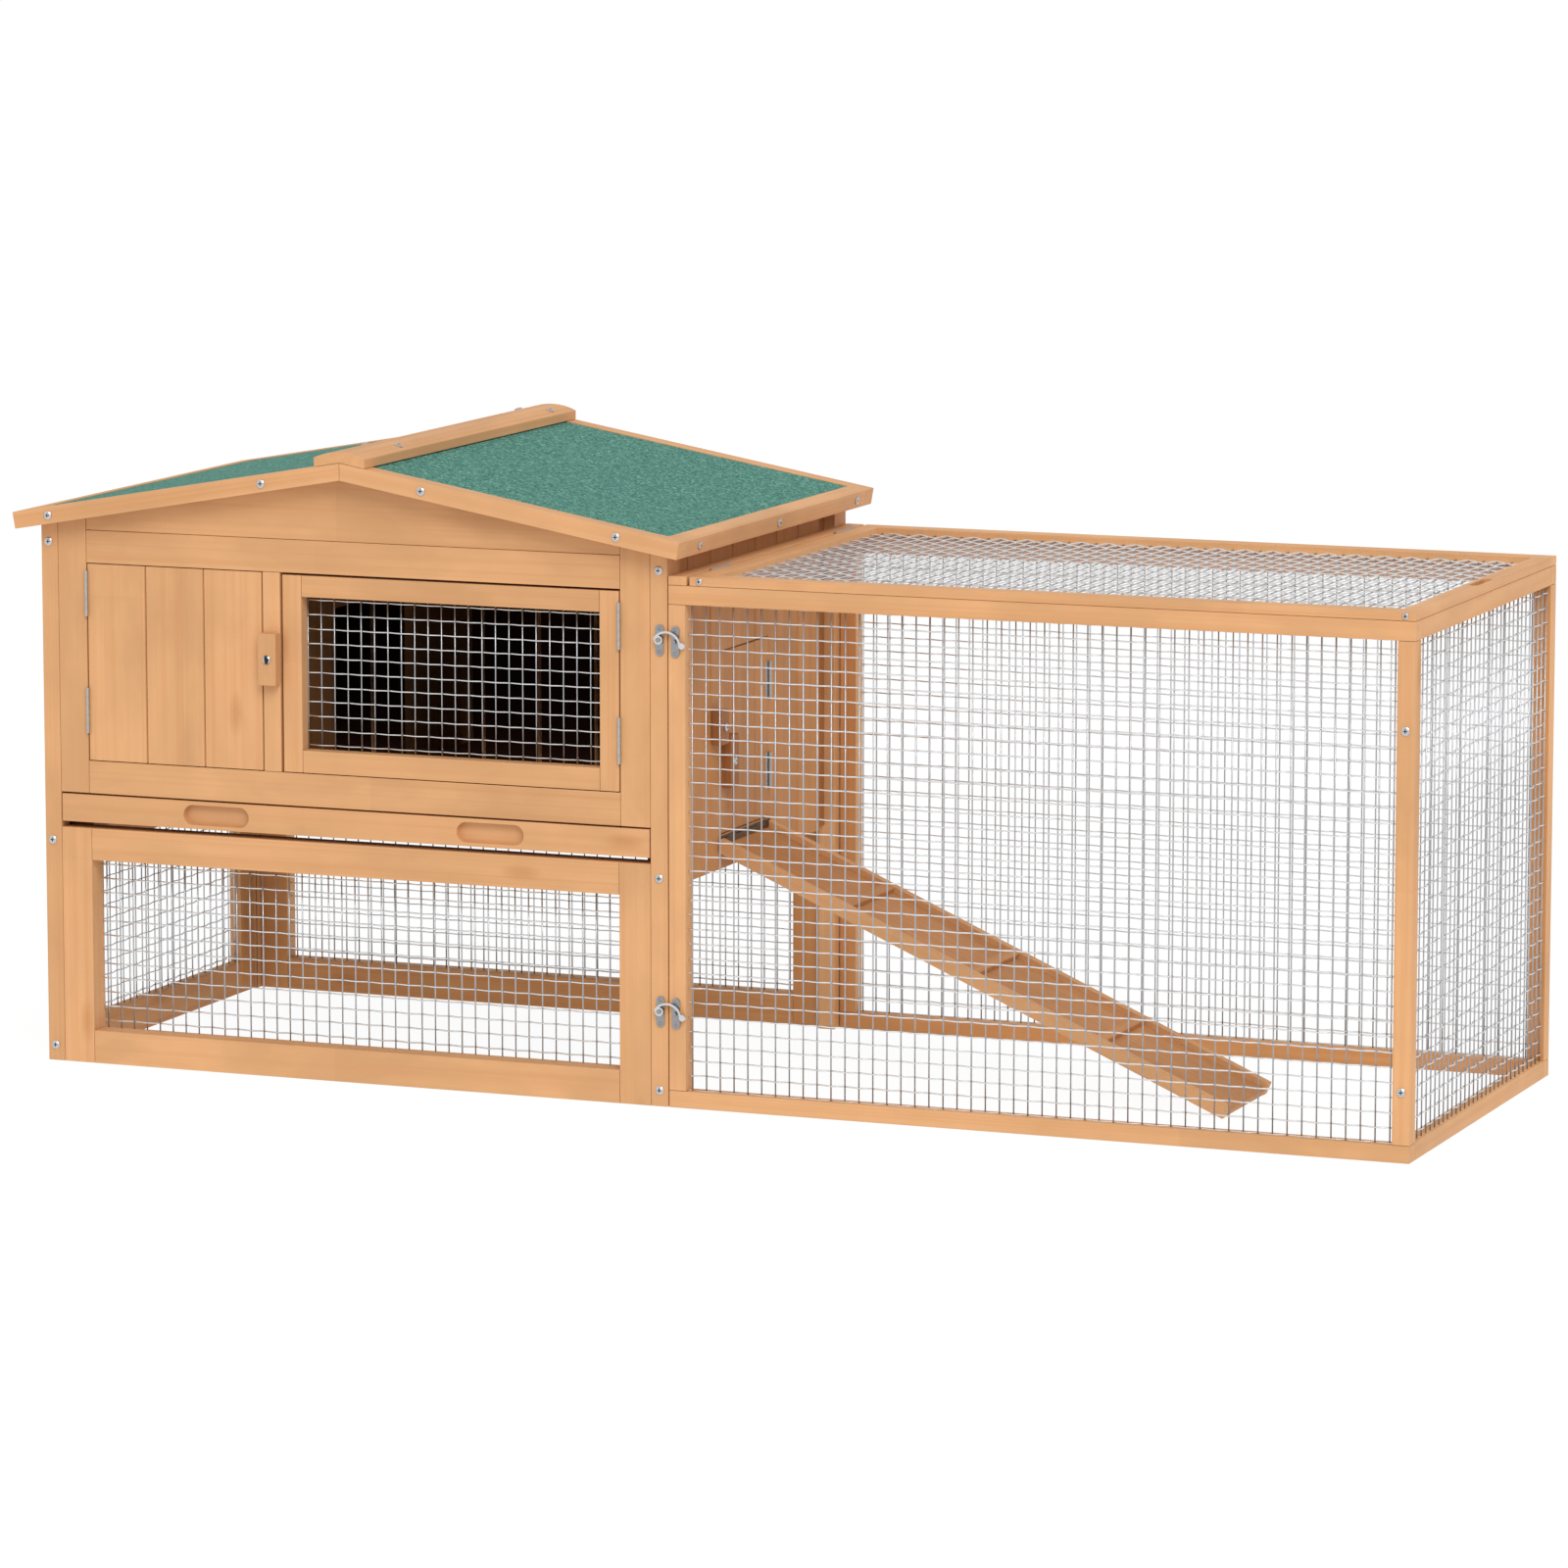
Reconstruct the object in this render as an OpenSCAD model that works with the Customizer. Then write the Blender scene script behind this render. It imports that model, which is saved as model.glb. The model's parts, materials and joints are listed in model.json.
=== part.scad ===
// Two-storey rabbit hutch: a gabled house with a slide-out tray beside a wire run.
// Millimetres. x runs along the front from house to run, y from front to back, z up.
// Modules place their pieces from the house's front left foot; centred() moves
// that point so that the finished hutch stands centred over the origin.

/* [House] */
// Width over the corner posts
house_w = 734.8; // [728:0.2:744]
// Depth over the corner posts
house_d = 518; // [514:2:526]
// Corner post width seen from the front
post_w = 19.5; // [18:0.5:23]
// Corner post depth front to back
post_d = 34; // [30:1:36]
// Thickness of the front and back frames
frame_t = 22; // [20:1:24]
// Width of the frame stiles
stile_w = 33.8; // [30:0.1:36]
// Thickness of the upright wall boards
board_t = 9; // [8:0.5:10]
// Spacing of the side wall boards
board_pitch = 63.7; // [62:0.1:65]

/* [Levels] */
// Top of the lower front frame
lower_top = 259.4; // [258:0.2:262]
// Height of the rails along the ground
ground_rail_h = 36; // [30:1:44]
// Height of the wide rails elsewhere
rail_h = 35.5; // [30:0.5:40]
// Underside of the tray
tray_z = 266.1; // [264:0.1:267]
// Height of the tray front
tray_h = 30.2; // [28:0.2:32]
// Underside of the upper front frame
upper_z = 298.3; // [298:0.1:300]
// Underside of the rail above the doors
door_head_z = 550.5; // [548:0.5:552]
// Lower edge of the side wall
side_wall_z = 231; // [226:1:236]

/* [Roof] */
// Height of the roof frame's underside at the ridge
ridge_under_z = 654.4; // [654:0.2:657]
// Slope of the roof
pitch = 9.92; // [9.6:0.02:10.1]
// Depth of the roof frame boards
roof_t = 18.4; // [17:0.2:19]
// Overhang past the posts at the sides and the front
overhang = 23; // [18:1:24]
// Overhang behind the house
rear_overhang = 27; // [22:1:30]
// Half width of the ridge cap
cap_half = 29.5; // [26:0.5:34]

/* [Run] */
// Length of the run
run_l = 817.5; // [800:0.5:880]
// Height of the run under its lid
run_h = 557; // [556:0.5:558]
// Width of the run's stiles
run_stile = 19; // [16:0.5:20]
// Thickness of the run's front and back frames
run_t = 20; // [18:1:22]
// Thickness of the lid
lid_t = 9.5; // [9:0.5:10]
// Width of the lid's front and back rails
lid_rail = 24.5; // [20:0.5:28]

/* [Doors] */
// Clear edge around a door
door_gap = 1.6; // [1.4:0.1:2]
// Thickness of the wire door's frame
door_t = 18; // [16:1:18]
// Length of a door hinge
hinge_l = 50; // [40:1:56]
// Length of a turn button
button_l = 56; // [48:1:60]

/* [Ramp] */
// Width of the ramp
ramp_w = 151; // [140:1:156]
// Slope of the ramp
ramp_slope = 23.6; // [23:0.1:24.2]
// Thickness of the ramp over its side rails
ramp_t = 14.5; // [12:0.5:15]

/* [Hidden] */
$fn = 48;

// seam parts neighbouring pieces of wood, fit parts metal from wood.
seam = 0.4;
fit = 0.05;
// Overshoot of cutting tools.
cut = 1;

mid_x = house_w / 2;
// The run hooks on to the house with a narrow gap.
run_x0 = house_w + 1.2;
run_x1 = house_w + run_l;
// The fixed strip along the run's top by the house, and the lid beside it.
batten_w = 20.6;
lid_gap = 3.4;
lid_x0 = run_x0 + batten_w + lid_gap;
lid_top = run_h + seam + lid_t;
back_y = house_d - post_d;

// Screw heads: radius, and the heights of rim, shoulder and crown.
screw_r = 4.6;
rim_h = 0.9;
shoulder_r = 0.75 * screw_r;
shoulder_h = 1.7;
screw_h = 2;
slot_w = 1;
// The heads on the sloping eave boards stand this far past the boards' upper edge.
eave_screw_out = (shoulder_h + fit) * cos(pitch) + (shoulder_r - roof_t / 2) * sin(pitch);
// The hutch spans from the left eave's screws to the run's end, and between the
// screws of the two barge boards.
centre_x = (run_x1 - overhang - eave_screw_out) / 2;
centre_y = (house_d + rear_overhang - overhang) / 2;
roof_y0 = -overhang;
roof_y1 = house_d + rear_overhang;

pine = [0.87, 0.67, 0.44];
pine_dark = [0.80, 0.58, 0.36];
zinc = [0.78, 0.79, 0.80];
wire = [0.70, 0.71, 0.72];
felt_green = [0.20, 0.52, 0.43];

// ---- helpers ---------------------------------------------------------------

module centred() {
  translate([-centre_x, -centre_y, 0]) children();
}

// A box between two values on each axis.
module bar(x, y, z) {
  translate([x[0], y[0], z[0]]) cube([x[1] - x[0], y[1] - y[0], z[1] - z[0]]);
}

// An outline drawn in x and z, made into a solid between y0 and y1.
module along_y(y0, y1) {
  translate([0, y1, 0]) rotate([90, 0, 0]) linear_extrude(y1 - y0) children();
}

// A rectangular frame of two stiles and two rails, standing across the view.
module frame_xz(x, y, z, stile, top, base) {
  bar([x[0], x[0] + stile], y, z);
  bar([x[1] - stile, x[1]], y, z);
  bar([x[0] + stile + seam, x[1] - stile - seam], y, [z[1] - top, z[1]]);
  bar([x[0] + stile + seam, x[1] - stile - seam], y, [z[0], z[0] + base]);
}

// The same frame seen from the side.
module frame_yz(x, y, z, stile, top, base) {
  bar(x, [y[0], y[0] + stile], z);
  bar(x, [y[1] - stile, y[1]], z);
  bar(x, [y[0] + stile + seam, y[1] - stile - seam], [z[1] - top, z[1]]);
  bar(x, [y[0] + stile + seam, y[1] - stile - seam], [z[0], z[0] + base]);
}

// A slot with round ends, its length along y.
module slot(width, length) {
  straight = length - width;
  translate([-width / 2, -straight / 2]) square([width, straight]);
  for (side = [-1, 1]) {
    translate([0, side * straight / 2]) circle(width / 2);
  }
}

module mirrored_x(plane) {
  translate([2 * plane, 0, 0]) mirror([1, 0, 0]) children();
}

// ---- roof geometry ---------------------------------------------------------

function roof_under(x) = ridge_under_z - abs(x - mid_x) * tan(pitch);

// A point u down the right slope and w above its underside.
function slope_pt(u, w) = [mid_x + u * cos(pitch) + w * sin(pitch),
  ridge_under_z - u * sin(pitch) + w * cos(pitch)];
function ridge_pt(w) = [mid_x + seam / 2, ridge_under_z + w / cos(pitch)];
eave_u = (mid_x + overhang - roof_t * sin(pitch)) / cos(pitch);
eave_board_w = 22;
barge_t = 23;
// Heights of the deck and the felt above the roof frame's underside.
deck_w = [8, 14.5];
felt_w = [14.6, 17.4];

// Section of the right slope from the ridge down to u, between two heights.
module slope_section(u, w0, w1) {
  polygon([ridge_pt(w0), slope_pt(u, w0), slope_pt(u, w1), ridge_pt(w1)]);
}

module both_slopes() {
  children();
  mirrored_x(mid_x) children();
}

// Everything below the roof frame, or rise above its underside, to trim the walls.
module under_roof(rise = 0) {
  side = mid_x + overhang;
  eave_z = roof_under(mid_x + side) + rise - seam;
  along_y(-overhang, house_d + overhang)
    polygon([[mid_x - side, -cut], [mid_x + side, -cut], [mid_x + side, eave_z],
      [mid_x, ridge_under_z + rise - seam], [mid_x - side, eave_z]]);
}

// ---- hinges ----------------------------------------------------------------

pin_r = 1;
barrel_r = 1.9;
leaf_t = 0.6;
leaf_y = [barrel_r + 0.5, 11.5];

// How far the two leaves stand from the axis, and the play between knuckles.
leaf_reach = 0.2;
knuckle_play = 0.2;
// The pin is fast in the jamb's knuckles and turns in the leaf's.
pin_fast = 0.01;

// A butt hinge about the z axis, centred on its length. Its leaves reach towards
// +y in the gap between the two pieces: the jamb's on the -x side. The jamb has
// the knuckles of even number and the moving leaf those of odd number. The
// section's measures above are those of size 1.
module knuckles(length, count, first, x, size) {
  step = length / count;
  for (i = [first:2:count - 1]) {
    z0 = i * step - length / 2 + knuckle_play / 2;
    z1 = z0 + step - knuckle_play;
    translate([0, 0, z0]) cylinder(r = size * barrel_r, h = z1 - z0);
    bar(size * x, [0, size * (barrel_r + 1)], [z0, z1]);
  }
}

// The leaf that stays on the jamb, its plate reach away from the axis.
module hinge_jamb(length, count, reach = leaf_reach, size = 1) {
  difference() {
    union() {
      knuckles(length, count, 0, [-reach - leaf_t, -leaf_reach], size);
      bar(size * [-reach - leaf_t, -reach], size * leaf_y, [-length / 2, length / 2]);
    }
    cylinder(r = size * pin_r + pin_fast, h = length + 2 * cut, center = true);
  }
}

// The leaf that swings with the door, lid or ramp.
module hinge_leaf(length, count, reach = leaf_reach, size = 1) {
  difference() {
    union() {
      knuckles(length, count, 1, [leaf_reach, reach + leaf_t], size);
      bar(size * [reach, reach + leaf_t], size * leaf_y, [-length / 2, length / 2]);
    }
    cylinder(r = size * pin_r + fit, h = length + 2 * cut, center = true);
  }
}

module hinge_pin(length, size = 1) {
  cylinder(r = size * pin_r, h = length, center = true);
}

// ---- screws ----------------------------------------------------------------

// A pan head with a cross recess, standing on the xy plane.
module screw_head(r = screw_r) {
  difference() {
    rotate_extrude()
      polygon([[0, fit], [r, fit], [r, rim_h], [shoulder_r * r / screw_r, shoulder_h],
        [r * 0.35, screw_h], [0, screw_h]]);
    for (turn = [0, 90]) {
      rotate([0, 0, turn])
        bar([-r / 2, r / 2], [-slot_w / 2, slot_w / 2], [rim_h / 2, screw_h + cut]);
    }
  }
}

module front_screw(x, z) {
  translate([x, 0, z]) rotate([90, 0, 0]) screw_head();
}

module back_screw(x, z) {
  translate([x, house_d, z]) rotate([-90, 0, 0]) screw_head();
}

// ---- house -----------------------------------------------------------------

stile_x0 = post_w + seam;
stile_x1 = house_w - post_w - seam;
opening_x0 = stile_x0 + stile_w;
opening_x1 = stile_x1 - stile_w;
mullion_x = [265, 285.3];
door_z0 = upper_z + rail_h;
header_top = door_head_z + rail_h;

module corner_posts() {
  color(pine) centred() intersection() {
    union() {
      for (x = [0, house_w - post_w], y = [0, back_y]) {
        bar([x, x + post_w], [y, y + post_d], [0, ridge_under_z]);
      }
    }
    under_roof();
  }
}

module upper_front_frame() {
  color(pine) centred() {
    intersection() {
      union() {
        bar([stile_x0, opening_x0], [0, frame_t], [upper_z, ridge_under_z]);
        bar([opening_x1, stile_x1], [0, frame_t], [upper_z, ridge_under_z]);
      }
      under_roof();
    }
    bar([opening_x0 + seam, opening_x1 - seam], [0, frame_t], [upper_z, door_z0]);
    bar([opening_x0 + seam, opening_x1 - seam], [0, frame_t], [door_head_z, header_top]);
  }
}

// The strip behind the mullion stands out beside it and past the doors' ends.
strip_t = 8;
strip_out = [10, 12];
strip_past = 20;

// The fixed upright between the doors, and the strip behind it that they close on.
module door_mullion() {
  color(pine) centred() {
    bar(mullion_x, [0, frame_t], [door_z0 + seam, door_head_z - seam]);
    bar([mullion_x[0] - strip_out[0], mullion_x[1] + strip_out[1]],
      [frame_t + seam, frame_t + strip_t], [door_z0 - strip_past, door_head_z + strip_past]);
  }
}

gable_y = [0.6, frame_t];

module front_gable() {
  color(pine) centred() intersection() {
    bar([opening_x0 + seam, opening_x1 - seam], gable_y, [header_top + seam, ridge_under_z]);
    under_roof();
  }
}

// Boards meet in V grooves: half their width in walls and doors, and their depth.
wall_groove_w = 2;
door_groove_w = 1.2;
groove_d = 3;

// An upright V cutter about a point, its half widths along x and y.
module v_cutter(at, half, z) {
  translate([at[0], at[1], z[0] - cut]) linear_extrude(z[1] - z[0] + 2 * cut)
    polygon([[-half[0], 0], [0, -half[1]], [half[0], 0], [0, half[1]]]);
}

// Upright boards side by side from a to b, the first one ending at first_seam.
module wall_boards(x, a, b, first_seam, pitch, z) {
  last = ceil((b - first_seam) / pitch);
  difference() {
    for (i = [0:last]) {
      bar(x, [max(a, first_seam + (i - 1) * pitch + seam), min(b, first_seam + i * pitch)], z);
    }
    for (i = [0:last - 1], face = x) {
      v_cutter([face, first_seam + i * pitch + seam / 2], [groove_d, wall_groove_w], z);
    }
  }
}

// The same for boards side by side along x, count of them.
module front_boards(x, y, z, count, groove_w) {
  pitch = (x[1] - x[0] + seam) / count;
  difference() {
    for (i = [0:count - 1]) {
      bar([x[0] + i * pitch, x[0] + (i + 1) * pitch - seam], y, z);
    }
    for (i = [1:count - 1], face = y) {
      v_cutter([x[0] + i * pitch - seam / 2, face], [groove_w, groove_d], z);
    }
  }
}

// The side walls stand a little inside the posts' outer faces.
wall_inset = 5;
wall_y0 = post_d + seam;
wall_y1 = back_y - seam;
left_wall_x = [wall_inset, wall_inset + board_t];
right_wall_x = [house_w - wall_inset - board_t, house_w - wall_inset];
// Boards of the right wall end short of the rear post, against a recessed strip.
boards_y1 = 450;
first_board_y = 68;
hatch_y = [157.5, 299];
hatch_z = [tray_z + 1.7, 467.5];

// Trims walls that rise to the roof deck's underside.
module under_deck() {
  intersection() {
    children();
    under_roof(deck_w[0]);
  }
}

module left_wall() {
  color(pine) centred() under_deck()
    wall_boards(left_wall_x, wall_y0, wall_y1, first_board_y, board_pitch,
      [lower_top + seam, header_top + rail_h]);
}

module right_wall() {
  z = [side_wall_z, header_top + rail_h];
  color(pine) centred() {
    under_deck() difference() {
      wall_boards(right_wall_x, wall_y0, boards_y1, first_board_y, board_pitch, z);
      bar([right_wall_x[0] - cut, right_wall_x[1] + cut], hatch_y, hatch_z);
    }
    under_deck()
      bar([house_w - post_w, right_wall_x[0] + 2], [boards_y1 + seam, wall_y1], z);
  }
}

back_frame_y = [house_d - frame_t - 2, house_d - 2];
back_boards = 10;
back_wall_y = [back_frame_y[1] - board_t - 1, back_frame_y[1] - 1];

module back_wall() {
  color(pine) centred() under_deck()
    front_boards([stile_x0, stile_x1], back_wall_y, [lower_top + seam, ridge_under_z + rail_h],
      back_boards, wall_groove_w);
}

// The inner wall between the nest box and the wire fronted room, with its doorway.
partition_t = 10;
partition_x = [mullion_x[1] - partition_t, mullion_x[1]];
partition_y = [frame_t + strip_t + 0.5, back_wall_y[0] - 1];
partition_z = [upper_z + 2, ridge_under_z];
doorway_y = [135, 340];
doorway_top = 495;

module partition() {
  color(pine_dark) centred() under_deck() {
    bar(partition_x, [partition_y[0], doorway_y[0]], partition_z);
    bar(partition_x, [doorway_y[1], partition_y[1]], partition_z);
    bar(partition_x, [doorway_y[0] + seam, doorway_y[1] - seam], [doorway_top, partition_z[1]]);
  }
}

// Strips that the tray slides on, between the posts.
runner_w = 24;
runner_h = 13.5;
runner_z = [tray_z - 0.5 - runner_h, tray_z - 0.5];
runner_y0 = post_d + 2;
left_frame_x = [2, 16];
left_runner_x0 = left_frame_x[1] + seam;
right_runner_x1 = right_wall_x[0] - seam;

module tray_runners() {
  color(pine_dark) centred() {
    bar([left_runner_x0, left_runner_x0 + runner_w], [runner_y0, back_y - 2], runner_z);
    bar([right_runner_x1 - runner_w, right_runner_x1], [runner_y0, boards_y1 - 2], runner_z);
  }
}

lower_t = 27;
lower_stile = 35.8;
lower_rail_h = rail_h - 0.6;

module lower_front_frame() {
  color(pine) centred()
    frame_xz([stile_x0, stile_x1], [0, lower_t], [0, lower_top], lower_stile, lower_rail_h,
      ground_rail_h);
}

module lower_left_frame() {
  color(pine) centred()
    frame_yz(left_frame_x, [wall_y0, wall_y1], [0, lower_top], stile_w, ground_rail_h,
      ground_rail_h);
}

module lower_back_frame() {
  color(pine) centred()
    frame_xz([stile_x0, stile_x1], back_frame_y, [0, lower_top], stile_w, lower_rail_h,
      ground_rail_h);
}

// ---- wire ------------------------------------------------------------------

wire_t = 1.8;

function shrunk_by(range, inset) = [range[0] + inset, range[1] - inset];
function shrunk(range) = shrunk_by(range, seam);
function about(middle) = [middle - wire_t / 2, middle + wire_t / 2];

// Wire mesh as a thin sheet, filling an opening and centred on y.
module sheet_xz(x, y, z) {
  color(wire) centred() bar(shrunk(x), about(y), shrunk(z));
}

module sheet_yz(x, y, z) {
  color(wire) centred() bar(about(x), shrunk(y), shrunk(z));
}

lower_opening_z = [ground_rail_h, lower_top - lower_rail_h];

module lower_front_mesh() {
  sheet_xz(shrunk_by([stile_x0, stile_x1], lower_stile), lower_t - 2.5, lower_opening_z);
}

module lower_back_mesh() {
  sheet_xz(shrunk_by([stile_x0, stile_x1], stile_w), back_frame_y[0] + frame_t / 2,
    lower_opening_z);
}

module lower_left_mesh() {
  sheet_yz((left_frame_x[0] + left_frame_x[1]) / 2, [wall_y0 + stile_w, wall_y1 - stile_w],
    [ground_rail_h, lower_top - ground_rail_h]);
}

// ---- roof ------------------------------------------------------------------

// Where the deck and the felt end, just short of the eave board.
slope_end_u = eave_u - eave_board_w - seam;
deck_y = [roof_y0 + barge_t + seam, roof_y1 - barge_t - seam];

module roof_decks() {
  color(pine_dark) centred() both_slopes() {
    along_y(deck_y[0], deck_y[1]) slope_section(slope_end_u, deck_w[0], deck_w[1]);
  }
}

module roof_felts() {
  color(felt_green) centred() both_slopes() {
    along_y(deck_y[0], deck_y[1]) slope_section(slope_end_u, felt_w[0], felt_w[1]);
  }
}

module barge_boards() {
  color(pine) centred() both_slopes() {
    for (y = [roof_y0, roof_y1 - barge_t]) {
      along_y(y, y + barge_t) slope_section(eave_u, 0, roof_t);
    }
  }
}

module eave_boards() {
  inner_u = eave_u - eave_board_w;
  color(pine) centred() both_slopes() {
    along_y(deck_y[0], deck_y[1])
      polygon([slope_pt(inner_u, 0), slope_pt(eave_u, 0), slope_pt(eave_u, roof_t),
        slope_pt(inner_u, roof_t)]);
  }
}

// The cap's top is rounded about an axis along the ridge.
cap_top = 684.8;
cap_r = 70;
cap_under = ridge_pt(roof_t + seam)[1];

// One board along the ridge, hollowed to fit both slopes and rounded on top.
module ridge_cap() {
  edge_z = cap_under - cap_half * tan(pitch);
  color(pine) centred() intersection() {
    along_y(roof_y0, roof_y1)
      polygon([[mid_x - cap_half, edge_z], [mid_x, cap_under], [mid_x + cap_half, edge_z],
        [mid_x + cap_half, cap_top + cut], [mid_x - cap_half, cap_top + cut]]);
    translate([mid_x, roof_y0 - cut, cap_top - cap_r]) rotate([-90, 0, 0])
      cylinder(r = cap_r, h = roof_y1 - roof_y0 + 2 * cut, $fn = 180);
  }
}

// Where the roof's screws stand, down each slope and from front to back.
left_barge_screw_u = [92, 351];
right_barge_screw_u = [95, 322];
eave_screw_y = [38, 264, 496];
cap_screw_x = 19.5;
cap_screw_y = [86, 495];

// A screw at a point of the right slope's section, turned to stand on its face.
module roof_screw(point, y, turn) {
  translate([point[0], y, point[1]]) rotate(turn) screw_head();
}

module barge_screws(places) {
  for (u = places) {
    roof_screw(slope_pt(u, roof_t / 2), roof_y0, [90, 0, 0]);
    roof_screw(slope_pt(u, roof_t / 2), roof_y1, [-90, 0, 0]);
  }
}

module roof_screws() {
  lean = asin(cap_screw_x / cap_r);
  cap_pt = [mid_x + cap_screw_x, cap_top - cap_r + cap_r * cos(lean)];
  color(zinc) centred() {
    barge_screws(right_barge_screw_u);
    mirrored_x(mid_x) barge_screws(left_barge_screw_u);
    both_slopes() {
      for (y = eave_screw_y) {
        roof_screw(slope_pt(eave_u, roof_t / 2), y, [0, 90 + pitch, 0]);
      }
      for (y = cap_screw_y) {
        roof_screw(cap_pt, y, [0, lean, 0]);
      }
    }
  }
}

// ---- run -------------------------------------------------------------------

run_y = [0, run_t];
run_back = [house_d - run_t, house_d];
run_rail_h = 20;
run_base_h = 18;
run_opening_x = [run_x0 + run_stile, run_x1 - run_stile];
run_opening_z = [run_base_h, run_h - run_rail_h];

// A long side: rails over its whole length, and a stile between them at each end.
module run_side(y) {
  bar([run_x0, run_x1], y, [0, run_base_h]);
  bar([run_x0, run_x1], y, [run_h - run_rail_h, run_h]);
  for (x = [run_x0, run_x1 - run_stile]) {
    bar([x, x + run_stile], y, shrunk(run_opening_z));
  }
}

module run_front_frame() {
  color(pine) centred() run_side(run_y);
}

module run_back_frame() {
  color(pine) centred() run_side(run_back);
}

end_x = [run_x1 - run_stile + 1, run_x1];
end_y = [run_y[1] + seam, run_back[0] - seam];
end_z = [run_base_h + 1, run_h - run_rail_h];

// Rails across the end, between the two long sides.
module run_end_frame() {
  color(pine) centred() {
    bar(end_x, end_y, [end_z[1], run_h]);
    bar(end_x, end_y, [0, end_z[0]]);
  }
}

// The fixed strip on top of the run that carries the lid's hinges.
module hinge_batten() {
  color(pine) centred() bar([run_x0, run_x0 + batten_w], [0, house_d], [run_h + seam, lid_top]);
}

// How far the mesh stands in from the run's inner faces.
run_mesh_in = 11.5;

module run_front_mesh() {
  sheet_xz(run_opening_x, run_y[1] - run_mesh_in, run_opening_z);
}

module run_back_mesh() {
  sheet_xz(run_opening_x, run_back[0] + run_mesh_in, run_opening_z);
}

module run_end_mesh() {
  sheet_yz(end_x[1] - 4, end_y, end_z);
}

lid_z = [run_h + seam, lid_top];
lid_rail_x = [lid_x0, run_x1];
lid_stile_y = [lid_rail + seam, house_d - lid_rail - seam];
lid_side = 22;
lid_grip_side = 20;
lid_grip = [10, 62];
lid_grip_y = 264;
lid_mesh_z = run_h + 3.1;

module lid_frame() {
  color(pine) centred() {
    bar(lid_rail_x, [0, lid_rail], lid_z);
    bar(lid_rail_x, [house_d - lid_rail, house_d], lid_z);
    bar([lid_x0, lid_x0 + lid_side], lid_stile_y, lid_z);
    difference() {
      bar([run_x1 - lid_grip_side, run_x1], lid_stile_y, lid_z);
      translate([run_x1 - lid_grip_side / 2, lid_grip_y, run_h])
        linear_extrude(lid_t + cut) slot(lid_grip[0], lid_grip[1]);
    }
  }
}

module lid_mesh() {
  color(wire) centred()
    bar([lid_x0 + lid_side + seam, run_x1 - lid_grip_side - seam], shrunk(lid_stile_y),
      about(lid_mesh_z));
}

lid_screw_inset = 11;
lid_screw_r = 3.4;

// Small screws through the lid's front and back rails into its side rails.
module lid_screws() {
  z = (lid_z[0] + lid_z[1]) / 2;
  color(zinc) centred() for (x = shrunk_by(lid_rail_x, lid_screw_inset)) {
    translate([x, 0, z]) rotate([90, 0, 0]) screw_head(lid_screw_r);
    translate([x, house_d, z]) rotate([-90, 0, 0]) screw_head(lid_screw_r);
  }
}

// ---- hinges in place -------------------------------------------------------

// The hinge axes stand this far in front of the faces.
barrel_out = barrel_r + 0.2;
// And this far past the jamb, midway in the leaves' gap.
axis_in = leaf_reach + leaf_t;
solid_hinge_z = [389.5, 517.4];
mesh_hinge_z = [389.5, 511.5];
door_knuckles = 5;
hatch_hinge_l = 40;
hatch_hinge_z = [320, 419.5];
// The lid's hinges are smaller, and sunk in the gap beside the batten.
lid_hinge_size = 0.84;
lid_hinge_l = 56;
lid_hinge_y = [91.6, 452];
lid_hinge_reach = 1.35;
lid_axis = [lid_x0 - lid_gap / 2, lid_top + 0.1];
// The ramp's hinge is smaller still.
ramp_hinge_size = 0.55;
ramp_hinge_l = 140;
ramp_axis = [right_wall_x[1] + ramp_hinge_size * barrel_out, tray_z - 0.5];
ramp_y0 = 152.7;

module at_solid_door() {
  for (z = solid_hinge_z) {
    translate([opening_x0 + axis_in, -barrel_out, z]) children();
  }
}

module at_mesh_door() {
  for (z = mesh_hinge_z) {
    translate([opening_x1 - axis_in, -barrel_out, z]) mirror([1, 0, 0]) children();
  }
}

module at_side_door() {
  for (z = hatch_hinge_z) {
    translate([right_wall_x[1] + barrel_out, hatch_y[1] - axis_in, z])
      rotate([0, 0, 90]) mirror([1, 0, 0]) children();
  }
}

module at_lid() {
  for (y = lid_hinge_y) {
    translate([lid_axis[0], y, lid_axis[1]]) rotate([-90, 0, 0]) children();
  }
}

module at_ramp() {
  translate([ramp_axis[0], ramp_y0 + ramp_w / 2, ramp_axis[1]]) rotate([-90, 0, 0]) children();
}

module hinge_pins() {
  color(zinc) centred() {
    at_solid_door() hinge_pin(hinge_l);
    at_mesh_door() hinge_pin(hinge_l);
    at_side_door() hinge_pin(hatch_hinge_l);
    at_lid() hinge_pin(lid_hinge_l, lid_hinge_size);
    at_ramp() hinge_pin(ramp_hinge_l, ramp_hinge_size);
  }
}

module solid_door_hinge_jambs() {
  color(zinc) centred() at_solid_door() hinge_jamb(hinge_l, door_knuckles);
}

module solid_door_hinge_leaves() {
  color(zinc) centred() at_solid_door() hinge_leaf(hinge_l, door_knuckles);
}

module mesh_door_hinge_jambs() {
  color(zinc) centred() at_mesh_door() hinge_jamb(hinge_l, door_knuckles);
}

module mesh_door_hinge_leaves() {
  color(zinc) centred() at_mesh_door() hinge_leaf(hinge_l, door_knuckles);
}

module side_door_hinge_jambs() {
  color(zinc) centred() at_side_door() hinge_jamb(hatch_hinge_l, door_knuckles);
}

module side_door_hinge_leaves() {
  color(zinc) centred() at_side_door() hinge_leaf(hatch_hinge_l, door_knuckles);
}

module lid_hinge_jambs() {
  color(zinc) centred() at_lid()
    hinge_jamb(lid_hinge_l, door_knuckles, lid_hinge_reach, lid_hinge_size);
}

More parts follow.
